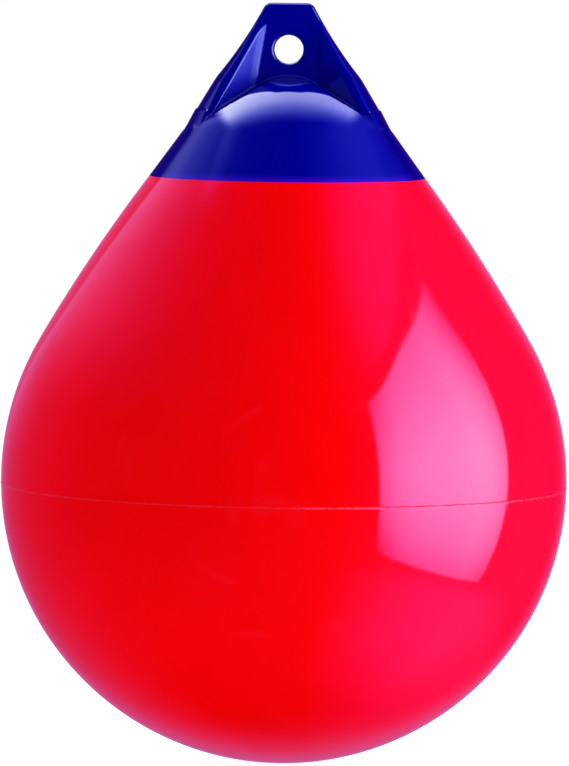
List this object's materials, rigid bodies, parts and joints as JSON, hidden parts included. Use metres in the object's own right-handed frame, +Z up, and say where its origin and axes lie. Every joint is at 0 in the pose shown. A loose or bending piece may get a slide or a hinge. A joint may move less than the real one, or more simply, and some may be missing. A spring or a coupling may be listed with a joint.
{
  "type": "inflatable mooring buoy",
  "caption": "Inflatable teardrop mooring buoy: glossy red float, moulded dark blue top with a bored rope eye between flared cheeks, and a slotted inflation valve at the back.",
  "frame": {"origin": "centre of the rope eye's bore, at the middle of the web's thickness", "axes": "+Z up along the float's axis, bore along Y, plain front of the shoulder towards -Y, inflation valve towards +Y"},
  "size_m": [0.4331, 0.4332, 0.5814],
  "materials": {
    "red_vinyl": "gloss",
    "blue_vinyl": "gloss",
    "white_nylon": "satin",
    "black_rubber": "matte"
  },
  "bodies": {
    "root": {"float_body": "red_vinyl", "rope_eye_cap": "blue_vinyl", "valve_insert": "white_nylon", "valve_washer": "black_rubber", "valve_screw": "white_nylon"}
  },
  "joints": []
}
